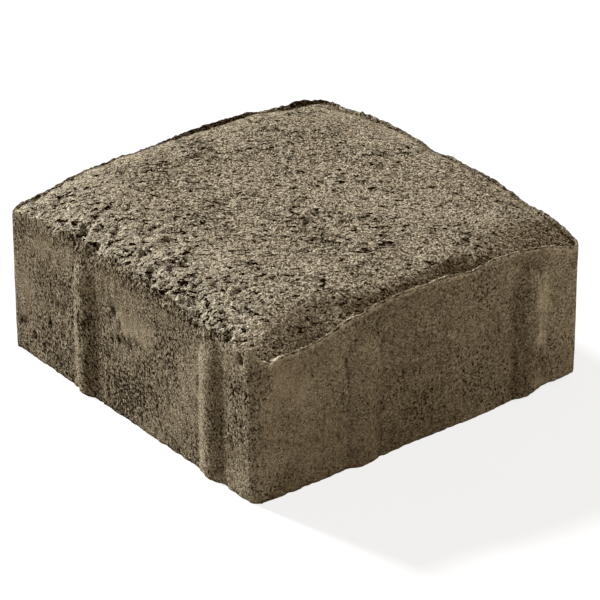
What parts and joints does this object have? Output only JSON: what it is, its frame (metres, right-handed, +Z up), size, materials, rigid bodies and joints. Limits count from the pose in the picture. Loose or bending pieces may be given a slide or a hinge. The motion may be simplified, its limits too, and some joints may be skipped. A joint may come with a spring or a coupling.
{
  "type": "concrete paving stone",
  "caption": "Square pressed concrete paving stone with a pillowed top, rolled and lipped edges, falling corners and upright spacer nibs on its faces.",
  "frame": {"origin": "middle of the flat underside", "axes": "+Z up through the pillowed top, +X and +Y square to the side faces"},
  "size_m": [0.14, 0.14, 0.06],
  "materials": {
    "concrete": "dry-pressed brown-grey concrete, open sandy grain on top, drawn sides with pores"
  },
  "bodies": {
    "root": {"paving_stone": "concrete"}
  },
  "joints": []
}
